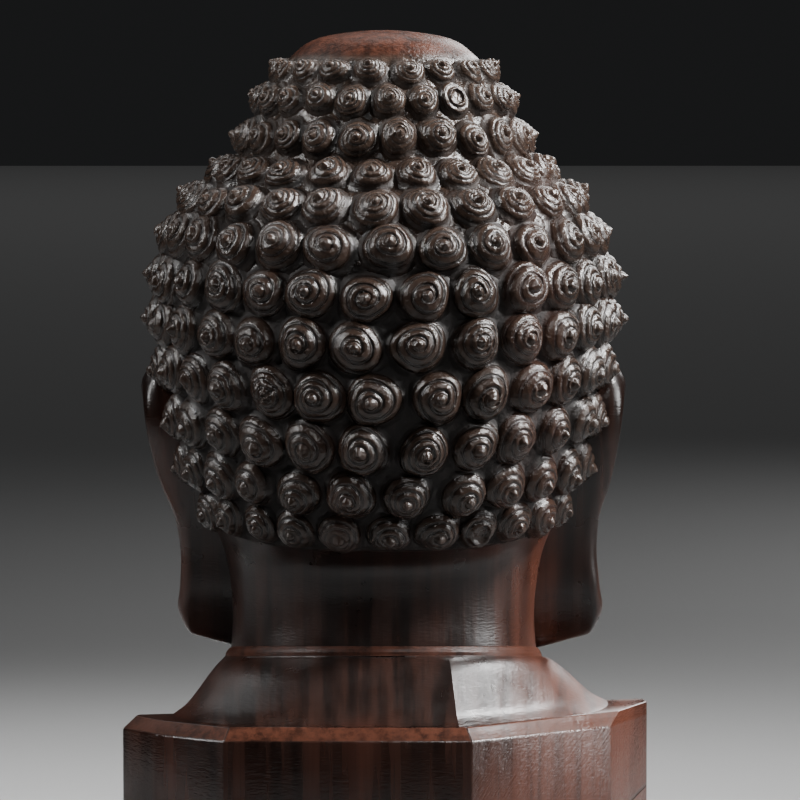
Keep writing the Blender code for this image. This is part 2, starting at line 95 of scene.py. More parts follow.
# Where the hair ends, in levels, by the angle in degrees from the face (0) round to the nape (180).
HAIRLINE = (
    (-20, 7.05),
    (0, 7.0),
    (20, 7.05),
    (35, 7.5),
    (48, 8.35),
    (58, 9.1),
    (65, 9.4),
    (73, 9.45),
    (82, 9.4),
    (92, 9.6),
    (96, 10.8),
    (99, 11.8),
    (104, 12.5),
    (112, 12.83),
    (125, 13.0),
    (140, 13.05),
    (180, 13.05),
    (200, 13.05),
)

# level, number in a full ring, turn of the first one from the nape in degrees, radius and height in mm
CURL_ROWS = (
    (1.55, 18, -7.2, 2.9, 2.8),
    (2.5, 22, 2.2, 3.1, 3.1),
    (3.5, 22, 6.1, 3.5, 3.4),
    (4.5, 23, -4.5, 3.8, 3.5),
    (5.5, 25, -2.4, 4.2, 3.8),
    (6.5, 26, 0.8, 4.6, 4.1),
    (7.5, 27, -3.8, 4.8, 4.3),
    (8.5, 27, -5.5, 4.9, 4.4),
    (9.5, 27, -1.4, 4.9, 4.4),
    (10.5, 26, -5.0, 4.7, 4.3),
    (11.5, 25, 6.4, 4.6, 4.0),
    (12.45, 27, 1.5, 4.1, 3.5),
)
CURL_HAIRLINE_GAP = 0.36  # a curl's middle stays this many levels above the hairline
CURL_EDGE, CURL_FOOT = 0.94, 1.4  # shares of its radius at which a curl's dome and its flared foot end
# Curls that were cut differently, by row and degrees from the nape: two hollow rings and one with a cross
ODD_CURLS = {(1, 35): "hollow", (11, 28): "hollow", (8, -28): "cross"}
CURL_GROUPS = (("curls_crown", 0, 4), ("curls_upper", 4, 7), ("curls_middle", 7, 9), ("curls_nape", 9, 12))

# The ear seen from the side: height, front edge, back edge, outer face's distance from the middle plane
EAR_SHAPE = (
    (1.4, -9.0, 3.6, 38.3),
    (6.0, -9.4, 4.0, 39.0),
    (12.0, -9.8, 4.6, 38.2),
    (20.0, -9.6, 4.8, 37.6),
    (28.0, -9.2, 6.2, 38.6),
    (36.0, -9.2, 8.6, 40.6),
    (44.0, -8.6, 10.4, 42.0),
    (50.0, -7.4, 10.4, 42.4),
    (54.5, -6.0, 9.6, 42.0),
)
EAR_ROOT = 25.0  # the ear's inner end, inside the head
EAR_LEAN = 1.2  # how far the lobes' ends lie towards -X
EAR_AROUND, EAR_DEPTH_ROWS = 96, 12
RIM_ROUNDING, RIM_START = 2.5, 0.64  # how far the rim rolls in, from which share of the ear's half width
LOBE_SLANT, LOBE_SLANT_FROM = 0.27, 27  # the lobe's end slants upwards from this distance out

# The pedestal in millimetres
BLOCK_WIDTH, BLOCK_DEPTH, BLOCK_HEIGHT = 95.4, 84.0, 28.7
BLANK_WIDTH = 120.0  # before the block is sawn to its outline
TOP_CHAMFER = 2.3
# Corners as shares of half the width and half the depth. The first two end the back, seen from above.
BLOCK_OUTLINE = (
    (0.583, 1.0),
    (-0.323, 1.0),
    (-0.847, 0.452),
    (-1.0, -0.019),
    (-0.966, -0.62),
    (-0.61, -0.97),
    (0.61, -0.97),
    (0.95, -0.62),
    (0.969, 0.512),
    (0.843, 0.726),
)
CHAMFERED_SIDES = (0, 1, 4, 5, 6, 7, 8, 9)  # each side by the number of its first corner above
CREST = ((41.8, 19.5), (-45.8, -5.2))  # the line from which the top falls away towards the chest
CHEST_FALL = math.radians(14)
COLLAR_WIDTH, COLLAR_DEPTH, COLLAR_BAND, COLLAR_RISE = 57.2, 54.0, 1.6, 3.0
SHOULDER_EDGES = (
    # collar x and y, foot x and y
    (11.0, 25.2, 24.2, 39.7),
    (-11.3, 25.2, -13.2, 39.7),
    (-22.0, 17.6, -27.6, 26.8),
    (-27.8, 7.2, -38.6, 16.6),
    (-28.5, -3.0, -41.4, -1.5),
    (-26.0, -12.0, -36.5, -17.0),
    (-17.0, -22.0, -24.5, -34.0),
    (0.0, -27.2, 0.0, -36.6),
    (17.0, -22.0, 24.5, -34.0),
    (26.0, -12.0, 36.0, -17.0),
    (28.5, -1.0, 37.0, 3.0),
    (26.5, 10.5, 37.6, 26.0),
)
CRISP_EDGE = 1  # counted from the first of the edges above
SHOULDER_PROFILE = ((0.0, 1.0), (0.14, 0.95), (0.34, 0.76), (0.56, 0.46), (0.78, 0.17), (1.0, 0.0))

# Where the finish and the painted light and shade change, in the frame's metres: from where the first look ends to
# where the next is full
CROWN_FROM_Z = (0.1440, 0.1462)
# Painted light: from this height up the curls are painted a lighter tan, as if lit from above.
TOP_LIGHT_FROM_Z = (0.105, 0.136)
# Red wood and painted light on the lit -X side, held back from the painted shade behind the ear.
LIT_RED_FROM_X = (-0.016, -0.030)
SHADE_BEHIND_EAR_FROM_X, SHADE_BEHIND_EAR_FROM_Z = (-0.0295, -0.0335), (0.036, 0.040)
SOFT_SHINE_FROM_Z, SOFT_SHINE_TO_Z = (0.0285, 0.0295), (0.064, 0.060)
DULL_SIDE_FROM_X, DULL_SIDE_FROM_Z, DULL_SIDE_TO_Z = (-0.0265, -0.0330), (0.0284, 0.0289), (0.040, 0.036)
SCRATCHED_BELOW_Z, SCRATCHED_FROM_X = (0.0272, 0.0262), (-0.0145, -0.0155)

WAX_SHINE = 0.45

# A thin dark line with a shallow groove: it rises with -X across the side between the block's third and fourth corners
LINE_RISE, LINE_OFFSET = 0.59, 0.01435
LINE_FROM_X, LINE_FROM_Y = (-0.0412, -0.0416), (-0.0010, -0.0006)

LAMPS = (
    # name, place, aim, width and height, spread in degrees, share of the lamps' power
    ("key_lamp", (-0.9, 0.12, 0.92), (0, 0, 0.09), (0.26, 0.26), 20, 0.75),
    ("top_lamp", (-0.6, -0.42, 0.98), (0, 0, 0.08), (0.42, 0.42), 18, 0.5),
    ("room_lamp", (0, -4.5, 4.0), (0, -4.5, 0), (1.2, 1.2), 180, 28),
    ("top_left_lamp", (0.6, -0.5, 0.9), (0, 0, 0.05), (1.2, 1.2), 60, 0.6),
    ("right_lamp", (-0.95, 0.12, 0.3), (0, 0, 0.06), (0.4, 0.5), 34, 0.36),
    ("left_lamp", (0.95, 0.12, 0.42), (0, 0, 0.06), (0.12, 0.35), 40, 0.11),
    ("left_high_lamp", (0.9, 0.25, 0.9), (0, 0, 0.09), (0.2, 0.3), 26, 0.22),
    ("camera_lamp", (-0.3, 0.9, 0.9), (0, 0, 0.1), (0.2, 0.2), 32, 0.1),
    ("face_lamp", (-0.45, -1.3, 0.6), (0, 0, 0.08), (0.6, 0.6), 50, 0.6),
)
CAMERA_PLACE, CAMERA_AIM = (0, 1.070, 0.148), (-0.00297, 0, 0.0834)

HEAD_PANEL = "Buddha Head"


# Curves and forms


def eased(value, low, high):
    """0 below low, 1 above high, and a smooth step between them."""
    share = np.clip((value - low) / (high - low), 0, 1)
    return share * share * (3 - 2 * share)


def through(at, knots, values):
    """A smooth curve through the values at the knots."""
    knots = np.asarray(knots, float)
    values = np.asarray(values, float)
    gaps = np.diff(knots)
    rises = np.diff(values) / gaps
    slopes = np.empty(len(knots))
    slopes[0], slopes[-1] = rises[0], rises[-1]
    slopes[1:-1] = (rises[:-1] * gaps[1:] + rises[1:] * gaps[:-1]) / (gaps[1:] + gaps[:-1])
    at = np.clip(at, knots[0], knots[-1])
    i = np.clip(np.searchsorted(knots, at, side="right") - 1, 0, len(gaps) - 1)
    s = (at - knots[i]) / gaps[i]
    start = values[i] * (1 + 2 * s) * (1 - s) ** 2 + gaps[i] * slopes[i] * s * (1 - s) ** 2
    return start + values[i + 1] * s * s * (3 - 2 * s) + gaps[i] * slopes[i + 1] * s * s * (s - 1)


def bump(x, z, middle_x, middle_z, reach_x, reach_z):
    """A soft hill, 1 high, round a place on the face."""
    return np.exp(-(((x - middle_x) / reach_x) ** 2) - ((z - middle_z) / reach_z) ** 2)


def hairline(angle):
    """The level at which the hair ends, by the angle from the face in degrees."""
    angles, levels = zip(*HAIRLINE)
    return through(np.abs(angle), angles, levels)


def brow_and_socket(s, z):
    """The arched brow and the hollow under it. s is the distance from the face's middle line."""
    arch = 49.3 + 6.4 * np.sin(math.pi * np.clip((s - 2.0) / 28.5, 0, 1) ** 0.85)
    above = z - arch
    across = eased(s, 2.5, 8.0) * (1 - eased(s, 26.0, 34.0))
    hollow = eased(-above, -0.4, 3.4) * (1 - eased(-above, 6.5, 15.0))
    return 0.75 * np.exp(-((above / 0.9) ** 2)) * across - 2.7 * hollow * across


def eye(s, z):
    """The eyeball under its heavy lid, half closed and looking down."""
    inner, outer = 6.6, 26.2
    v = np.clip((s - inner) / (outer - inner), 0, 1)
    corners = 43.0 + 1.5 * v
    lid_edge = corners - 1.7 * np.sin(math.pi * v)
    lower_edge = corners - 3.3 * np.sin(math.pi * v) ** 0.9
    ball = np.clip(1 - ((s - 16.4) / 11.0) ** 2 - ((z - 44.9) / 6.1) ** 2, 0, 1) ** 0.62
    inside = eased(s, inner, inner + 1.2) * (1 - eased(s, outer - 1.2, outer))
    opening = eased(lid_edge - z, -0.25, 0.25) * eased(z - lower_edge, -0.25, 0.25) * inside
    lid = np.exp(-(((z - lid_edge - 0.55) / 0.7) ** 2)) * inside
    lower_lid = np.exp(-(((z - lower_edge + 0.5) / 0.6) ** 2)) * inside
    crease = np.exp(-(((z - lid_edge - 4.6) / 0.45) ** 2)) * inside
    return 3.3 * ball - 1.1 * opening + 0.6 * lid + 0.45 * lower_lid - 0.35 * crease


def nose(s, z):
    """The straight nose, its wings and nostrils."""
    heights = (28.0, 29.6, 30.6, 31.6, 32.8, 34.2, 36.5, 40.0, 44.0, 48.0, 51.0, 55.0)
    ridge = through(z, heights, (0, 1.0, 3.6, 6.1, 7.5, 7.8, 7.1, 5.5, 3.9, 2.5, 1.2, 0))
    width = through(z, heights, (5.0, 5.6, 6.6, 7.4, 7.9, 7.6, 6.5, 5.0, 4.0, 3.4, 3.4, 3.8))
    form = ridge * (1 - eased(s / width, 0.05, 1.15))
    wings = 2.4 * bump(s, z, 5.9, 33.2, 2.3, 2.3)
    nostrils = 1.6 * bump(s, z, 3.1, 30.9, 1.3, 1.0)
    return form + wings - nostrils


def mouth(s, z):
    """The full, calm lips and the groove above them."""
    half = 10.2
    v = np.clip(s / half, 0, 1)
    line = 24.0 + 1.1 * v * v - 0.3 * np.exp(-((s / 2.0) ** 2))
    fade = (1 - v**4) ** 0.8
    bow = 0.5 * np.exp(-(((s - 2.6) / 1.7) ** 2)) - 0.35 * np.exp(-((s / 1.1) ** 2))
    top = line + (3.1 + bow) * (1 - v**2.2) + 0.05
    bottom = line - 4.2 * (1 - v * v) ** 0.8 - 0.05
    upper = np.clip((z - line) / (top - line), 0, 1)
    lower = np.clip((line - z) / (line - bottom), 0, 1)
    lips = 1.7 * (1 - np.abs(2 * upper - 1) ** 3) + 2.1 * (1 - np.abs(2 * lower - 1) ** 2.6)
    parting = 0.9 * np.exp(-(((z - line) / 0.6) ** 2)) * (1 - eased(s, half, half + 1.5))
    groove = 0.55 * bump(s, z, 0, 29.2, 1.2, 2.0)
    corners = 0.6 * bump(s, z, 11.4, 25.3, 2.8, 2.4)
    under = 0.8 * bump(s, z, 0, 17.8, 9.0, 2.4)
    return 2.2 * bump(s, z, 0, 24, 12, 9) + lips * fade - parting - groove - corners - under


def face(x, z):
    """How far the carving of the face stands out, in millimetres."""
    s = np.abs(x)
    flesh = 3.1 * bump(s, z, 0, 14.0, 7.5, 5.0) + 1.4 * bump(s, z, 21, 32, 10, 11)
    fold = 0.8 * bump(s, z, 11.8, 30.0, 2.8, 5.0)
    mark = 0.9 * np.sqrt(np.clip(1 - (s * s + (z - 57.5) ** 2) / 2.9, 0, 1))
    return brow_and_socket(s, z) + eye(s, z) + nose(s, z) + mouth(s, z) + flesh - fold + mark


def form_at(level, angle):
    """The plain form of the head, with no curls or face, at levels and angles in degrees from the face."""
    knots, side, side_z, front, front_z, back, back_z = zip(*LEVELS)
    a = np.radians(angle)
    ahead = np.cos(a)
    round_power = 1 - 0.07 * eased(level, 4.5, 6.5) * (1 - eased(level, 12.5, 13.5))
    in_front = ahead > 0
    reach = np.where(in_front, through(level, knots, front), through(level, knots, back))
    height = np.where(in_front, through(level, knots, front_z), through(level, knots, back_z))
    x = through(level, knots, side) * np.sign(np.sin(a)) * np.abs(np.sin(a)) ** round_power
    y = -reach * np.sign(ahead) * np.abs(ahead) ** round_power
    z = height * ahead**2 + through(level, knots, side_z) * (1 - ahead**2)
    return np.stack([x, y, z], axis=-1)


def skin_at(level, angle):
    """The head's surface without its curls: the skin lies lower than the hair, and the face is carved on it."""
    points = form_at(level, angle)
    bare = eased(level, hairline(angle) - 0.06, hairline(angle) + 0.06)
    bare = bare * eased(level, 4, 5)
    outwards = points - (0, 0, HEAD_CENTRE_Z)
    outwards /= np.linalg.norm(outwards, axis=-1, keepdims=True)
    points = points - outwards * (SKIN_STEP * bare)[..., None]
    facing = eased(np.cos(np.radians(angle)), 0.15, 0.5)
    points[..., 1] -= face(points[..., 0], points[..., 2]) * facing * bare
    return points


def uneven(points, size, seed):
    """Soft unevenness, about -1 to 1, from waves that run through the wood in many directions."""
    chance = random.Random(seed)
    total = 0
    for _ in range(10):
        way = np.array([chance.gauss(0, 1) for _ in range(points.shape[-1])])
        way *= 2 * math.pi / (size * chance.uniform(0.7, 1.6) * np.linalg.norm(way))
        total = total + np.sin(points @ way + chance.uniform(0, 6.3))
    return total / 4


def ground_at(level, angle):
    """The head's surface as the knife left it: rough between the curls and smooth elsewhere."""
    points = skin_at(level, angle)
    hair = eased(hairline(angle) - level, -0.02, 0.25) * eased(level, 1.0, 1.25)
    outwards = points - (0, 0, HEAD_CENTRE_Z)
    outwards /= np.linalg.norm(outwards, axis=-1, keepdims=True)
    rough = 0.26 * uneven(points, 3.4, 1) + 0.16 * uneven(points, 1.6, 2)
    return points + outwards * (hair * rough)[..., None]


def in_frame(points):
    """Head millimetres to the frame's metres."""
    return (points + (0, 0, COLLAR_LEVEL)) * MM


# Work with Blender's own tools


def deselect_all():
    if bpy.context.object and bpy.context.object.mode != "OBJECT":
        bpy.ops.object.mode_set(mode="OBJECT")
    bpy.ops.object.select_all(action="DESELECT")


def take(made):
    """Makes one object the selected and active one."""
    deselect_all()
    made.select_set(True)
    bpy.context.view_layer.objects.active = made


def sheet(name, columns, rows):
    """Adds a flat grid, and returns it with the column and the row of each of its corners."""
    deselect_all()
    bpy.ops.mesh.primitive_grid_add(x_subdivisions=columns, y_subdivisions=rows, size=1)
    made = bpy.context.object
    made.name = made.data.name = name
    flat = np.empty(len(made.data.vertices) * 3)
    made.data.vertices.foreach_get("co", flat)
    flat = flat.reshape(-1, 3)
    column = np.rint((flat[:, 0] + 0.5) * columns).astype(int)
    row = np.rint((flat[:, 1] + 0.5) * rows).astype(int)
    return made, column, row


def shape(made, points):
    """Moves an object's corners to points in the frame's metres."""
    made.data.vertices.foreach_set("co", np.ascontiguousarray(points, float).ravel())
    made.data.update()


def note(made, **values):
    """Keeps how each corner looks: worn (0 in a hollow, which the wood paints dark as painted shade, 1 on a polished
    crest), tooled and red.
    """
    for name in NOTES:
        kept = made.data.attributes.new(name, "FLOAT", "POINT")
        value = np.broadcast_to(values.get(name, 0.0), len(made.data.vertices))
        kept.data.foreach_set("value", value.astype(float))


def close_up(made, angle=None):
    """Merges the seam, closes what is open, turns the faces outwards and smooths them."""
    take(made)
    bpy.ops.object.mode_set(mode="EDIT")
    bpy.ops.mesh.select_all(action="SELECT")
    bpy.ops.mesh.remove_doubles(threshold=0.000002)
    bpy.ops.mesh.select_all(action="SELECT")
    bpy.ops.mesh.fill_holes(sides=0)
    bpy.ops.mesh.select_all(action="SELECT")
    bpy.ops.mesh.normals_make_consistent(inside=False)
    bpy.ops.object.mode_set(mode="OBJECT")
    if angle is None:
        bpy.ops.object.shade_smooth()
    else:
        bpy.ops.object.shade_smooth_by_angle(angle=angle)


def finish_piece(made):
    """Gives a piece its wood and its place in the frame."""
    made.data.materials.clear()
    made.data.materials.append(bpy.data.materials[WOOD_NAME])
    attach(made, BODY)
    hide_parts(NODE)


# Pieces


def spaced(low, high, step_at):
    """Values from low to high whose step is step_at of the value."""
    values = [low]
    while values[-1] < high:
        values.append(values[-1] + step_at(values[-1]))
    values = np.array(values)
    return low + (values - low) * (high - low) / (values[-1] - low)


def carve_head(settings):
    """The crown, the ground under the curls, the face and the neck."""
    fine = settings.face_step / 0.7  # a degree is about 0.7 mm on the face
    coarse, fine_level, coarse_level = 1.1, fine * 0.09, 0.085

    def angle_step(angle):
        return fine + (coarse - fine) * float(eased(abs(angle), 50, 62))

    def level_step(level):
        on_face = float(eased(level, 6.3, 7.2) * (1 - eased(level, 13.2, 13.6)))
        return coarse_level + (fine_level - coarse_level) * on_face

    angles = spaced(-180, 180, angle_step)
    levels = np.append(spaced(0, NECK_BOTTOM_LEVEL, level_step), NECK_BOTTOM_LEVEL)
    made, column, row = sheet("carved_head", len(angles) - 1, len(levels) - 1)
    level, angle = levels[row], angles[column]
    points = ground_at(level, angle)
    points[:, 2] -= NECK_RUNS_ON * (row == len(levels) - 1)
    shape(made, in_frame(points))
    bare = np.clip(eased(level, hairline(angle) - 0.15, hairline(angle)) + 1 - eased(level, 0.85, 1.1), 0, 1)
    # Painted shade: further down the head the ground between the curls gets a lower worn value, so darker wood, where
    # less light falls from above.
    hollow = np.clip(0.8 - 0.6 * eased(level, 5, 9) + 0.25 * uneven(points, 2.4, 3), 0.0, 1.0)
    note(made, worn=bare * 0.85 + (1 - bare) * hollow, tooled=1 - bare)
    close_up(made)
    return made


def ear_relief(forward, height, share):
    """The ear's carving: the rolled rim, the hollow inside it and the long lobe's shallow dip."""
    upper = eased(height, 24, 32)
    rim = np.exp(-(((share - 0.84) / 0.13) ** 2)) * (1 - 0.85 * bump(forward, height, -9, 36, 4, 9))
    hollow = bump(forward, height, -3.5, 37, 4.2, 7.5)
    fold = bump(forward, height, 2.6, 40, 1.7, 8.5)
    dip = bump(forward, height, -2.6, 14, 3.2, 8.5)
    return upper * (1.2 * rim - 3.0 * hollow + 1.2 * fold) - 1.1 * dip


def carve_ear(name, side):
    """One long-lobed ear, rooted in the head. side is 1 on +X and -1 on -X."""
    heights, fronts, backs, outers = (np.array(c) for c in zip(*EAR_SHAPE))
    shares = np.concatenate([np.linspace(0.0, 0.7, 16), 0.7 + 0.3 * np.sin(np.linspace(0, math.pi / 2, 10))[1:]])
    made, column, row = sheet(name, EAR_AROUND, len(shares) - 1 + EAR_DEPTH_ROWS)
    turn = column * 2 * math.pi / EAR_AROUND
    share = shares[np.minimum(row, len(shares) - 1)]
    bottom, top = heights[0], heights[-1]
    half = (top - bottom) / 2
    z = bottom + half * (1 + share * np.sign(np.sin(turn)) * np.abs(np.sin(turn)) ** 0.8)
    across = share * np.sign(np.cos(turn)) * np.abs(np.cos(turn)) ** 0.6
    front, back = through(z, heights, fronts), through(z, heights, backs)
    y = (front + back) / 2 + (back - front) / 2 * across
    rolled = np.clip((share - RIM_START) / (1 - RIM_START), 0, 1)
    rounding = RIM_ROUNDING * (1 - np.sqrt(np.clip(1 - rolled**2, 0, 1)))
    x = through(z, heights, outers) + ear_relief(y, z, share) - rounding
    inwards = np.clip(row - (len(shares) - 1), 0, EAR_DEPTH_ROWS) / EAR_DEPTH_ROWS
    x = x + (EAR_ROOT - x) * inwards
    z = z + LOBE_SLANT * np.clip(x - LOBE_SLANT_FROM, 0, None) * (1 - eased(z, 2, 16))
    points = np.stack([side * x, y, z], axis=-1)
    points[:, 0] -= EAR_LEAN * (1 - eased(points[:, 2] + COLLAR_LEVEL, 45, 81))
    shape(made, in_frame(points))
    note(made, worn=0.85)
    close_up(made)
    return made


def curl_places():
    """Each curl's row, level and angle from the face in degrees."""
    found = []
    for row, (level, count, turn, _radius, _height) in enumerate(CURL_ROWS):
        for i in range(count):
            from_nape = (turn + 360 * i / count + 180) % 360 - 180
            angle = -math.copysign(180 - abs(from_nape), from_nape)
            if level + CURL_HAIRLINE_GAP < hairline(angle):
                found.append((row, level, angle))
    return found


def curl_height(share, turn, number, chance, finish):
    """A curl's height and how worn it is, which also paints shade in its groove and, on the lower rows, round its
    foot: a blunt dome with a groove wound round it up to its knob.
    """
    wide_foot = 1 - float(eased(number, 4, 8))
    rings = chance.uniform(2.6, 4.4)
    wound = share / CURL_EDGE * rings - chance.choice((-1, 1, 1)) * turn / (2 * math.pi) + chance.random()
    band = np.abs(np.sin(math.pi * wound)) ** 0.42
    knob_size = chance.uniform(0.17, 0.26)
    deeper_at = chance.uniform(0.0, 1.6)
    fade = eased(share, knob_size, knob_size + 0.07) * (1 - eased(share, CURL_EDGE - 0.04, CURL_EDGE + 0.12))
    depth = (0.055 + 0.115 * (0.5 + 0.5 * np.cos(turn - deeper_at))) * 3.6 / (rings + 0.6)
    round_part = np.clip(1 - (share / CURL_EDGE) ** 2, 0, 1) ** chance.uniform(0.6, 0.75)
    foot = 0.22 + 0.1 * wide_foot
    dome = foot + 0.2 * (1 - share / CURL_EDGE) + (0.76 - foot) * round_part
    flare = foot * np.exp(-(share - CURL_EDGE) / (0.12 + 0.09 * wide_foot)) - 0.08 * eased(share, 1.1, CURL_FOOT)
    height = np.where(share < CURL_EDGE, dome, flare) + depth * (band - 0.75) * fade
    if chance.random() < 0.75:
        height = height + 0.14 * np.sqrt(np.clip(1 - (share / knob_size) ** 2, 0, 1))
    else:
        height = height + 0.16 * np.clip(1 - share / knob_size, 0, 1) ** 0.8
    height = height - 0.05 * np.exp(-(((share - knob_size - 0.03) / 0.035) ** 2)) - 0.06
    on_top = 1 - eased(share, CURL_EDGE - 0.05, CURL_EDGE + 0.25)
    # Low in the groove, so the wood paints it dark: painted shade.
    worn = (0.25 + 0.75 * band) * fade + (1 - fade) * (share < 0.5)
    if finish == "hollow":
        rim = np.exp(-(((share - 0.5) / 0.09) ** 2))
        height = np.minimum(height, 0.46 + 0.17 * rim)
    if finish == "cross":
        for lean in (0.6, -0.9):
            across = np.abs(share * np.sin(turn - lean))
            height = height - 0.12 * np.exp(-((across / 0.05) ** 2)) * (share < 0.75)
    # Round the foot: light on the upper rows and dark on the lower ones, as painted shade where less light falls from
    # above.
    return height, worn * on_top + (0.15 + 0.65 * wide_foot) * (1 - on_top)


def carve_curls(name, first, last, settings):
    """A group of rows of curls, each wound by hand a little differently."""
    around, out = settings.curl_sides, settings.curl_rings
    pattern, column, row = sheet(name + "_pattern", around, out)
    turn = column * 2 * math.pi / around
    foot_rows = out // 5
    share = np.where(
        row <= out - foot_rows,
        CURL_EDGE * row / (out - foot_rows),
        CURL_EDGE + (CURL_FOOT - CURL_EDGE) * (row - out + foot_rows) / foot_rows,
    )
    copies = []
    for place, (number, level, angle) in enumerate(curl_places()):
        if not first <= number < last:
            continue
        chance = random.Random(1000 + place)
        from_nape = round(180 - abs(angle)) * (1 if angle < 0 else -1)
        finish = ODD_CURLS.get((number, from_nape), "plain")
        radius, tall = CURL_ROWS[number][3:]
        radius *= chance.uniform(0.95, 1.07)
        tall *= chance.uniform(0.9, 1.04)
        level += chance.uniform(-0.05, 0.05)
        angle += chance.uniform(-0.9, 0.9)
        wobble = 1 + 0.04 * np.sin(2 * turn + chance.uniform(0, 6)) + 0.03 * np.sin(3 * turn + chance.uniform(0, 6))
        height, worn = curl_height(share, turn, number, chance, finish)
        lean_across, lean_up = chance.uniform(-0.14, 0.10), chance.uniform(-0.22, 0.04)
        small = 0.01
        middle = form_at(np.array([level]), np.array([angle]))[0]
        along = (form_at(np.array([level]), np.array([angle + small]))[0] - middle) / small
        down = (form_at(np.array([level + small]), np.array([angle]))[0] - middle) / small
        outwards = np.cross(down, along)
        outwards /= np.linalg.norm(outwards)
        reach = share * radius * wobble
        across, up = reach * np.cos(turn), reach * np.sin(turn)
        height = height + 0.025 * uneven(np.stack([across, up], axis=-1), 1.5, place)
        lean = np.clip(height, 0, 2) * tall
        up = np.where((number == 0) & (up > 0), 0.7 * up, up)  # the first row keeps off the crown
        level_at = level - (up + lean_up * lean) / np.linalg.norm(down)
        angle_at = angle + (across + lean_across * lean) / np.linalg.norm(along)
        plain, rough = skin_at(level_at, angle_at), ground_at(level_at, angle_at)
        mix = (0.3 + 0.7 * eased(share, 0.7, 1.1))[:, None]
        ground = plain * (1 - mix) + rough * mix
        copy = pattern.copy()
        copy.data = pattern.data.copy()
        bpy.context.scene.collection.objects.link(copy)
        shape(copy, in_frame(ground + outwards * (height * tall)[:, None]))
        note(copy, worn=worn, tooled=1.0)
        copies.append(copy)
    bpy.data.objects.remove(pattern)
    deselect_all()
    for copy in copies:
        copy.select_set(True)
    bpy.context.view_layer.objects.active = copies[0]
    bpy.ops.object.join()
    made = bpy.context.object
    made.name = made.data.name = name
    close_up(made)
    return made


def on_edges(columns, share):
    """Points between the corners of a closed ring, by shares of the way round."""
    columns = np.array(columns)
    at = share * len(columns)
    i = at.astype(int) % len(columns)
    part = (at - at.astype(int))[:, None]
    return columns[i] * (1 - part) + columns[(i + 1) % len(columns)] * part


def on_soft_edges(columns, share):
    """The same, with every corner rounded by the rasp except the crisp second one."""
    nearest = np.abs((share * len(columns) - CRISP_EDGE + len(columns) / 2) % len(columns) - len(columns) / 2)
    reach = 0.42 * eased(nearest, 0.05, 0.5) / len(columns)
    steps = np.linspace(-1, 1, 9)
    return sum(on_edges(columns, (share + step * reach) % 1) for step in steps) / len(steps)


def top_level(x, y):
    """The height of the block's top: level at the back and falling away towards the chest."""
    start, end = np.array(CREST[0]), np.array(CREST[1])
    along = (end - start) / np.linalg.norm(end - start)
    forwards = (x - start[0]) * -along[1] + (y - start[1]) * along[0]
    return BLOCK_HEIGHT - np.maximum(0, forwards) * math.tan(CHEST_FALL)


def carve_shoulders():
    """The collar with its rounded lip, and the curved facets that sweep from it down to the block."""
    edges = np.array(SHOULDER_EDGES)
    band_rows, slope_rows = 6, 22
    around = len(edges) * 12
    made, column, row = sheet("shoulders", around, band_rows + slope_rows + 1)
    share = column / around % 1
    outs = np.clip((row - band_rows) / slope_rows, 0, 1)
    collar, foot = on_soft_edges(edges[:, :2], share), on_soft_edges(edges[:, 2:], share)
    turn = np.arctan2(collar[:, 1] / COLLAR_DEPTH, collar[:, 0] / COLLAR_WIDTH)
    round_one = np.stack([np.cos(turn) * COLLAR_WIDTH / 2, np.sin(turn) * COLLAR_DEPTH / 2], axis=-1)
    mix = eased(outs, 0, 0.15)[:, None]
    collar = round_one * (1 - mix) + collar * mix
    level = COLLAR_LEVEL + COLLAR_RISE * round_one[:, 1] / (COLLAR_DEPTH / 2)
    place = collar * (1 - outs[:, None]) + foot * outs[:, None]
    bottom = top_level(foot[:, 0], foot[:, 1])
    out_knots, left_knots = zip(*SHOULDER_PROFILE)
    z = bottom + (level - bottom) * through(outs, out_knots, left_knots)
    lip = np.clip((band_rows - row) / band_rows, 0, 1) * math.pi / 2
    inwards = round_one / np.linalg.norm(round_one, axis=1, keepdims=True)
    place = place - inwards * (COLLAR_BAND * 1.4 * (1 - np.cos(lip)))[:, None]
    z = z + COLLAR_BAND * 1.25 * np.sin(lip) - 2.0 * (row > band_rows + slope_rows)
    shape(made, np.column_stack([place, z]) * MM)
    note(made, worn=0.85, red=(row <= band_rows) * 0.65)
    close_up(made, math.radians(14))
    return made


def cut(point, outwards):
    """Cuts the selected solid by a plane, keeps the side behind it and closes the cut."""
    bpy.ops.mesh.select_all(action="SELECT")
    bpy.ops.mesh.bisect(
        plane_co=Vector(point) * MM,
        plane_no=outwards,
        use_fill=True,
        clear_outer=True,
        threshold=0.0000005,
    )


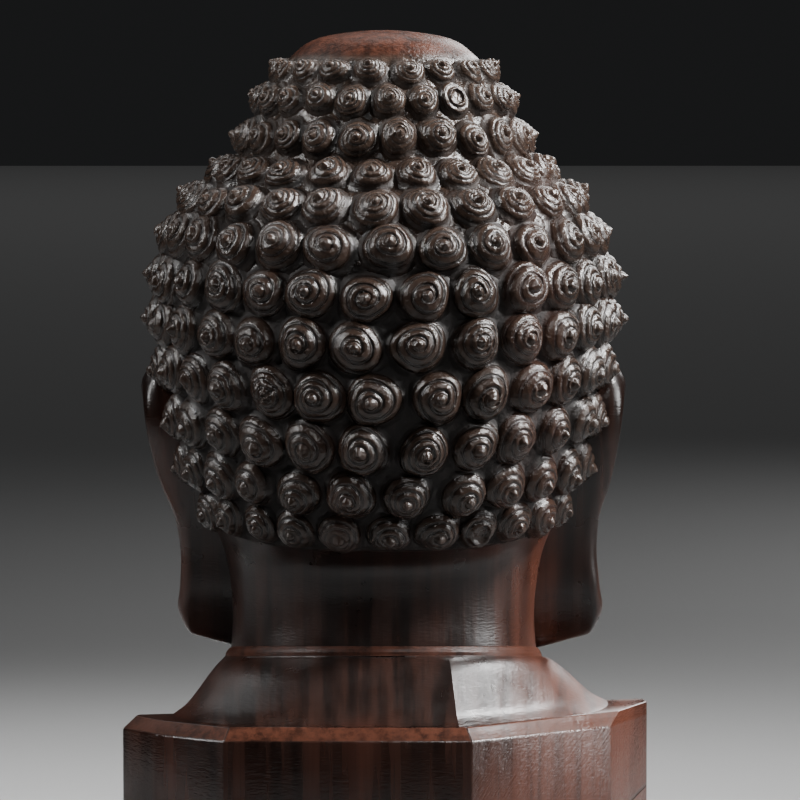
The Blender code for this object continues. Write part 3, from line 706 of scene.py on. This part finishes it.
def carve_block(settings):
    """The pedestal's block: sawn to its outline, its chest sloped and its top edges chamfered."""
    corners = [Vector((x * BLOCK_WIDTH / 2, y * BLOCK_DEPTH / 2, 0)) for x, y in BLOCK_OUTLINE]
    deselect_all()
    middle, size = (0, 0, BLOCK_HEIGHT / 2 * MM), (BLANK_WIDTH * MM, BLANK_WIDTH * MM, BLOCK_HEIGHT * MM)
    bpy.ops.mesh.primitive_cube_add(size=1, location=middle, scale=size)
    made = bpy.context.object
    made.name = made.data.name = "pedestal_block"
    bpy.ops.object.transform_apply(location=True, rotation=True, scale=True)
    bpy.ops.object.mode_set(mode="EDIT")
    for i, start in enumerate(corners):
        end = corners[(i + 1) % len(corners)]
        cut(start, (end - start).cross(Vector((0, 0, 1))).normalized())
    start = Vector((*CREST[0], BLOCK_HEIGHT))
    along = (Vector((*CREST[1], BLOCK_HEIGHT)) - start).normalized()
    forwards = Vector((-along.y, along.x, 0))
    cut(start, forwards * math.sin(CHEST_FALL) + Vector((0, 0, math.cos(CHEST_FALL))))
    for i in CHAMFERED_SIDES:
        ends = []
        for corner in (corners[i], corners[(i + 1) % len(corners)]):
            ends.append(corner + Vector((0, 0, float(top_level(corner.x, corner.y)) - TOP_CHAMFER)))
        side = ends[1] - ends[0]
        outwards = side.cross(Vector((0, 0, 1))).normalized()
        cut(ends[0], side.cross(Vector((0, 0, 1)) - outwards).normalized())
    bpy.ops.object.mode_set(mode="OBJECT")
    worn = made.modifiers.new("worn_edges", "BEVEL")
    worn.width = settings.edge_wear
    worn.segments = 2
    worn.limit_method = "ANGLE"
    worn.angle_limit = math.radians(12)
    bpy.ops.object.modifier_apply(modifier=worn.name)
    red = np.zeros(len(made.data.vertices))
    for facet in made.data.polygons:
        if 0.55 < facet.normal.z < 0.85 and facet.area > 0.00001:
            red[list(facet.vertices)] = 1
    note(made, worn=0.85, red=red)
    close_up(made, math.radians(20))
    return made


# Material


class Wiring:
    """Short ways to add and link a material's nodes, and the place in the frame that they start from."""

    def __init__(self, tree):
        self.tree = tree
        self.place = self.add("ShaderNodeTexCoord").outputs["Object"]
        split = self.add("ShaderNodeSeparateXYZ")
        self.link(self.place, split.inputs[0])
        self.x, self.y, self.z = split.outputs

    def add(self, kind, **values):
        made = self.tree.nodes.new(kind)
        for key, value in values.items():
            setattr(made, key, value)
        return made

    def link(self, start, end):
        self.tree.links.new(start, end)

    def fill(self, sockets, values):
        """Gives each socket a number or a colour, or links it."""
        for socket, value in zip(sockets, values):
            if isinstance(value, (int, float, tuple)):
                socket.default_value = value
            else:
                self.link(value, socket)

    def noise(self, source, scale, detail, roughness, stretch=(1, 1, 1)):
        placed = self.add("ShaderNodeMapping")
        placed.inputs["Scale"].default_value = stretch
        self.link(source, placed.inputs["Vector"])
        made = self.add("ShaderNodeTexNoise")
        made.inputs["Scale"].default_value = scale
        made.inputs["Detail"].default_value = detail
        made.inputs["Roughness"].default_value = roughness
        self.link(placed.outputs[0], made.inputs["Vector"])
        return made.outputs["Fac"]

    def turned(self, source, rotation):
        made = self.add("ShaderNodeMapping")
        made.inputs["Rotation"].default_value = rotation
        self.link(source, made.inputs["Vector"])
        return made.outputs[0]

    def attribute(self, name):
        made = self.add("ShaderNodeAttribute")
        made.attribute_name = name
        return made.outputs["Fac"]

    def ramp(self, source, low, high, start=0.0, end=1.0):
        """A smooth step from start to end as the source goes from low to high."""
        made = self.add("ShaderNodeMapRange", interpolation_type="SMOOTHSTEP")
        names = ("Value", "From Min", "From Max", "To Min", "To Max")
        self.fill([made.inputs[name] for name in names], (source, low, high, start, end))
        return made.outputs["Result"]

    def maths(self, operation, *values):
        made = self.add("ShaderNodeMath", operation=operation)
        self.fill(made.inputs, values)
        return made.outputs[0]

    def plus(self, first, second):
        return self.maths("ADD", first, second)

    def times(self, first, second):
        return self.maths("MULTIPLY", first, second)

    def least(self, first, *others):
        for other in others:
            first = self.maths("MINIMUM", first, other)
        return first

    def most(self, first, *others):
        for other in others:
            first = self.maths("MAXIMUM", first, other)
        return first

    def mixed(self, share, first, second):
        made = self.add("ShaderNodeMix", data_type="RGBA")
        self.fill([made.inputs[0], made.inputs[6], made.inputs[7]], (share, first, second))
        return made.outputs[2]


def lit_side_red(wires, grain):
    """Red wood and painted light: a redder, lighter colour on the lit -X side. It is held back from the shaded place
    behind the ear, which stays dark as painted shade.
    """
    lit_red = wires.times(wires.ramp(wires.x, *LIT_RED_FROM_X, 0.0, 0.75), wires.ramp(grain, 0.3, 0.6, 0.45, 1.0))
    shade_behind_ear = wires.least(wires.ramp(wires.x, *SHADE_BEHIND_EAR_FROM_X), wires.ramp(wires.z, *SHADE_BEHIND_EAR_FROM_Z))
    return wires.times(lit_red, wires.maths("SUBTRACT", 1.0, shade_behind_ear))


def thin_dark_line(wires):
    """Where the thin dark line runs across one side of the block."""
    away = wires.plus(wires.plus(wires.z, wires.times(wires.x, LINE_RISE)), LINE_OFFSET)
    line = wires.ramp(wires.maths("ABSOLUTE", away), 0.0002, 0.0004, 1.0, 0.0)
    return wires.least(line, wires.ramp(wires.x, *LINE_FROM_X), wires.ramp(wires.y, *LINE_FROM_Y))


def tool_marks(wires, grain, dark_line, chipped):
    """The wood's fine height: grain, knife marks, the rasp's slanted scratches, a shallow groove under the thin dark
    line and the chips.
    """
    marks = wires.noise(wires.place, 420, 3, 0.6, (1, 1, 0.25))
    strokes = wires.noise(wires.place, 3000, 2, 0.5, (0.25, 0.25, 1))
    slanted = wires.turned(wires.turned(wires.place, (0, 0, math.radians(-44))), (0, math.radians(45), 0))
    scratches = wires.noise(slanted, 3000, 3, 0.6, (1, 1, 0.08))
    scratched = wires.times(wires.ramp(wires.z, *SCRATCHED_BELOW_Z), wires.ramp(wires.x, *SCRATCHED_FROM_X))
    chips = wires.noise(wires.place, 1500, 3, 0.6)
    height = wires.plus(wires.times(marks, 0.14), wires.times(strokes, 0.16))
    height = wires.plus(height, wires.times(wires.times(scratches, scratched), 0.55))
    height = wires.plus(wires.times(grain, 0.3), height)
    height = wires.maths("SUBTRACT", height, wires.times(dark_line, 0.5))
    return wires.plus(height, wires.times(wires.times(chips, chipped), 0.75))


def finish_wood(settings):
    """Dark hardwood: nearly black brown with red-brown grain along the block, waxed and rubbed, with painted shade in
    the hollows and painted light on the upper curls and the -X side.
    """
    material = bpy.data.materials.new(WOOD_NAME)
    material.use_nodes = True
    shader = material.node_tree.nodes["Principled BSDF"]
    wires = Wiring(material.node_tree)
    worn, tooled, red = (wires.attribute(name) for name in NOTES)
    dark, middle, streak_and_lit_red, pore_and_shade = (tuple(c) for c in (settings.dark, settings.middle, settings.red, settings.pore_and_shade))

    # grain, streaks and pores that run up the block
    grain = wires.noise(wires.place, 520, 3, 0.5, (1, 0.12, 0.04))
    broad = wires.noise(wires.place, 44, 3, 0.5, (1, 0.3, 0.25))
    pores = wires.noise(wires.place, 1500, 2, 0.5, (1, 1, 0.025))
    colour = wires.mixed(wires.ramp(grain, 0.38, 0.66), dark, middle)
    colour = wires.mixed(wires.times(wires.ramp(broad, 0.5, 0.72), 0.6), colour, streak_and_lit_red)
    # Red wood and painted light: a redder, lighter colour on the lit -X side.
    colour = wires.mixed(lit_side_red(wires, grain), colour, streak_and_lit_red)
    colour = wires.mixed(wires.ramp(pores, 0.6, 0.7, 0.0, 0.25), colour, pore_and_shade)

    # the crown and the rubbed edges
    crown = wires.ramp(wires.z, *CROWN_FROM_Z)
    rubbed = wires.most(crown, red)
    mottled = wires.ramp(wires.noise(wires.place, 420, 6, 0.75), 0.36, 0.62, 0.15, 1.0)
    colour = wires.mixed(wires.times(rubbed, mottled), colour, tuple(settings.crown))

    # the curls: painted shade in the hollows, worn crests, and painted light on the upper ones
    # Painted light: the upper curls, and their worn crests more, are painted a lighter tan where the light falls from
    # above.
    top_lit = wires.times(wires.ramp(wires.z, *TOP_LIGHT_FROM_Z), tooled)
    crest = wires.times(wires.ramp(worn, 0.7, 1.0, 0.0, 0.3), wires.plus(tooled, top_lit))
    top_light_tan = wires.times(top_lit, wires.ramp(grain, 0.3, 0.6, 0.05, 0.35))
    colour = wires.mixed(wires.times(tooled, 0.75), colour, tuple(settings.tooled))
    # Painted shade: hollows and grooves, where worn is low, are painted near black with the pore colour.
    colour = wires.mixed(wires.ramp(worn, 0.0, 0.6, 0.8, 0.0), colour, pore_and_shade)
    colour = wires.mixed(crest, colour, tuple(settings.crest))
    colour = wires.mixed(top_light_tan, colour, tuple(settings.top_light_tan))

    dark_line = thin_dark_line(wires)
    wires.link(wires.mixed(dark_line, colour, pore_and_shade), shader.inputs["Base Color"])

    # the wax: bright on worn wood, softer on the neck and shoulders, dull on the crown and one shoulder's side
    dull_side = wires.least(
        wires.ramp(wires.x, *DULL_SIDE_FROM_X),
        wires.ramp(wires.z, *DULL_SIDE_TO_Z),
        wires.ramp(wires.z, *DULL_SIDE_FROM_Z, 0.0, 0.75),
    )
    dull = wires.most(rubbed, dull_side)
    soft = wires.least(wires.ramp(wires.z, *SOFT_SHINE_FROM_Z), wires.ramp(wires.z, *SOFT_SHINE_TO_Z))
    rough = wires.noise(wires.place, 120, 3, 0.6)
    polish = wires.plus(wires.ramp(rough, 0.3, 0.7, 0.0, 0.12), wires.ramp(worn, 0.2, 0.8, 0.68, 0.14))
    polish = wires.plus(polish, wires.times(dull, 0.12))
    polish = wires.plus(polish, wires.times(soft, 0.12))
    wires.link(polish, shader.inputs["Roughness"])
    shader.inputs["IOR"].default_value = 1.5
    shader.inputs["Specular IOR Level"].default_value = WAX_SHINE
    wires.link(wires.ramp(dull, 0.0, 1.0, WAX_SHINE, 0.08), shader.inputs["Specular IOR Level"])

    relief = wires.add("ShaderNodeBump")
    relief.inputs["Strength"].default_value = 0.6
    relief.inputs["Distance"].default_value = 0.0004
    wires.link(tool_marks(wires, grain, dark_line, wires.most(tooled, crown)), relief.inputs["Height"])
    wires.link(relief.outputs[0], shader.inputs["Normal"])


# Stage


def aim_at(made, place, aim):
    """Turns a lamp or the camera from its place towards its aim."""
    made.rotation_euler = (Vector(aim) - Vector(place)).to_track_quat("-Z", "Y").to_euler()


def set_floor(settings):
    """A plain pale floor."""
    deselect_all()
    bpy.ops.mesh.primitive_plane_add(size=12, location=(0, 0, 0))
    floor = bpy.context.object
    floor.name = floor.data.name = "floor"
    paint = bpy.data.materials.new("pale_floor")
    paint.use_nodes = True
    shader = paint.node_tree.nodes["Principled BSDF"]
    shader.inputs["Base Color"].default_value = settings.floor_colour
    shader.inputs["Roughness"].default_value = 0.7
    floor.data.materials.append(paint)


def set_lamps(settings):
    """The lamps of LAMPS, and a faint even light from the room."""
    for name, place, aim, size, spread, share in LAMPS:
        deselect_all()
        bpy.ops.object.light_add(type="AREA", location=place)
        made = bpy.context.object
        made.name = name
        made.data.shape = "RECTANGLE"
        made.data.size, made.data.size_y = size
        made.data.spread = math.radians(spread)
        made.data.energy = settings.key_power * share
        aim_at(made, place, aim)
    world = bpy.data.worlds.new("studio")
    world.use_nodes = True
    background = world.node_tree.nodes["Background"]
    background.inputs["Color"].default_value = (0.8, 0.82, 0.85, 1)
    background.inputs["Strength"].default_value = settings.room_light
    bpy.context.scene.world = world


def set_camera(settings):
    """The camera at the photograph's height, distance and angle."""
    deselect_all()
    bpy.ops.object.camera_add(location=CAMERA_PLACE)
    camera = bpy.context.object
    camera.name = "photo_camera"
    camera.data.sensor_width = 36
    camera.data.lens = settings.lens
    camera.data.clip_start = 0.05
    aim_at(camera, CAMERA_PLACE, CAMERA_AIM)
    bpy.context.scene.camera = camera


# Settings, operators and panel


class CarvingSettings(bpy.types.PropertyGroup):
    face_step: bpy.props.FloatProperty(
        name="Face step", description="Distance between cuts on the face, in millimetres", default=0.42, min=0.2, max=2
    )
    curl_sides: bpy.props.IntProperty(name="Curl sides", description="Facets round one curl", default=32, min=8)
    curl_rings: bpy.props.IntProperty(
        name="Curl rings", description="Facets from a curl's tip to its rim", default=34, min=6
    )
    edge_wear: bpy.props.FloatProperty(
        name="Edge wear", description="Width of the worn edges of the block", default=0.00035, unit="LENGTH"
    )


class WoodSettings(bpy.types.PropertyGroup):
    dark: bpy.props.FloatVectorProperty(
        name="Dark wood",
        description="Darkest wood",
        subtype="COLOR",
        size=4,
        default=(0.0085, 0.0046, 0.0037, 1),
    )
    middle: bpy.props.FloatVectorProperty(
        name="Grain",
        description="Wood between the dark streaks",
        subtype="COLOR",
        size=4,
        default=(0.025, 0.0115, 0.0085, 1),
    )
    # Also the red wood and painted light on the lit -X side.
    red: bpy.props.FloatVectorProperty(
        name="Red streaks",
        description="Red-brown streaks",
        subtype="COLOR",
        size=4,
        default=(0.085, 0.0285, 0.0175, 1),
    )
    tooled: bpy.props.FloatVectorProperty(
        name="Tooled wood",
        description="Wood the curls are cut in",
        subtype="COLOR",
        size=4,
        default=(0.0095, 0.0066, 0.0052, 1),
    )
    # Painted light: the lighter tan on the upper curls.
    top_light_tan: bpy.props.FloatVectorProperty(
        name="Dust",
        description="Dusty wood on the upper curls",
        subtype="COLOR",
        size=4,
        default=(0.06, 0.042, 0.032, 1),
    )
    crest: bpy.props.FloatVectorProperty(
        name="Worn crests",
        description="Light wood on the ridges",
        subtype="COLOR",
        size=4,
        default=(0.07, 0.044, 0.032, 1),
    )
    # Also the painted shade in the hollows and grooves, and the thin dark line on the block.
    pore_and_shade: bpy.props.FloatVectorProperty(
        name="Pores",
        description="Open pores",
        subtype="COLOR",
        size=4,
        default=(0.0042, 0.0026, 0.0022, 1),
    )
    crown: bpy.props.FloatVectorProperty(
        name="Crown",
        description="Redder end grain on the crown",
        subtype="COLOR",
        size=4,
        default=(0.072, 0.026, 0.0158, 1),
    )


class StageSettings(bpy.types.PropertyGroup):
    floor_colour: bpy.props.FloatVectorProperty(
        name="Floor",
        description="Colour of the floor",
        subtype="COLOR",
        size=4,
        default=(0.22, 0.22, 0.22, 1),
    )
    key_power: bpy.props.FloatProperty(
        name="Lamps", description="Power that every lamp has a share of", default=1.1, unit="POWER"
    )
    room_light: bpy.props.FloatProperty(name="Room light", description="Strength of the room's light", default=0.015)
    lens: bpy.props.FloatProperty(name="Lens", description="Focal length", default=267.5, unit="CAMERA")


class MESH_OT_buddha_wood(bpy.types.Operator):
    """Mix the waxed dark hardwood"""

    bl_idname = "mesh.buddha_wood"
    bl_label = "Mix the Wood"

    def execute(self, context):
        finish_wood(context.scene.buddha_wood)
        return {"FINISHED"}


class MESH_OT_buddha_head(bpy.types.Operator):
    """Carve the crown, the ground under the curls, the face and the neck"""

    bl_idname = "mesh.buddha_head"
    bl_label = "Carve the Head"

    def execute(self, context):
        finish_piece(carve_head(context.scene.buddha_carving))
        return {"FINISHED"}


class MESH_OT_buddha_ears(bpy.types.Operator):
    """Carve both long-lobed ears"""

    bl_idname = "mesh.buddha_ears"
    bl_label = "Carve the Ears"

    def execute(self, context):
        finish_piece(carve_ear("ear_on_plus_x", 1))
        finish_piece(carve_ear("ear_on_minus_x", -1))
        return {"FINISHED"}


class MESH_OT_buddha_curls(bpy.types.Operator):
    """Carve the rows of spiral curls"""

    bl_idname = "mesh.buddha_curls"
    bl_label = "Carve the Curls"

    def execute(self, context):
        for name, first, last in CURL_GROUPS:
            finish_piece(carve_curls(name, first, last, context.scene.buddha_carving))
        return {"FINISHED"}


class MESH_OT_buddha_pedestal(bpy.types.Operator):
    """Carve the shoulders and the block below them"""

    bl_idname = "mesh.buddha_pedestal"
    bl_label = "Carve the Pedestal"

    def execute(self, context):
        finish_piece(carve_shoulders())
        finish_piece(carve_block(context.scene.buddha_carving))
        return {"FINISHED"}


class SCENE_OT_buddha_stage(bpy.types.Operator):
    """Set the floor, the lamps and the camera"""

    bl_idname = "scene.buddha_stage"
    bl_label = "Set the Stage"

    def execute(self, context):
        settings = context.scene.buddha_stage
        set_floor(settings)
        set_lamps(settings)
        set_camera(settings)
        return {"FINISHED"}


STEPS = (
    MESH_OT_buddha_wood,
    MESH_OT_buddha_head,
    MESH_OT_buddha_ears,
    MESH_OT_buddha_curls,
    MESH_OT_buddha_pedestal,
    SCENE_OT_buddha_stage,
)


class VIEW3D_PT_buddha_head(bpy.types.Panel):
    bl_label = HEAD_PANEL
    bl_idname = "VIEW3D_PT_buddha_head"
    bl_space_type = "VIEW_3D"
    bl_region_type = "UI"
    bl_category = HEAD_PANEL

    def draw(self, context):
        column = self.layout.column()
        for group in (context.scene.buddha_carving, context.scene.buddha_wood, context.scene.buddha_stage):
            for name in group.__annotations__:
                column.prop(group, name)
        for step in STEPS:
            column.operator(step.bl_idname)


CLASSES = (CarvingSettings, WoodSettings, StageSettings) + STEPS + (VIEW3D_PT_buddha_head,)


def register():
    for kind in CLASSES:
        bpy.utils.register_class(kind)
    bpy.types.Scene.buddha_carving = bpy.props.PointerProperty(type=CarvingSettings)
    bpy.types.Scene.buddha_wood = bpy.props.PointerProperty(type=WoodSettings)
    bpy.types.Scene.buddha_stage = bpy.props.PointerProperty(type=StageSettings)


def unregister():
    del bpy.types.Scene.buddha_stage
    del bpy.types.Scene.buddha_wood
    del bpy.types.Scene.buddha_carving
    for kind in reversed(CLASSES):
        bpy.utils.unregister_class(kind)


def main():
    register()
    bpy.ops.mesh.buddha_wood()
    bpy.ops.mesh.buddha_head()
    bpy.ops.mesh.buddha_ears()
    bpy.ops.mesh.buddha_curls()
    bpy.ops.mesh.buddha_pedestal()
    bpy.ops.scene.buddha_stage()


if __name__ == "__main__":
    main()
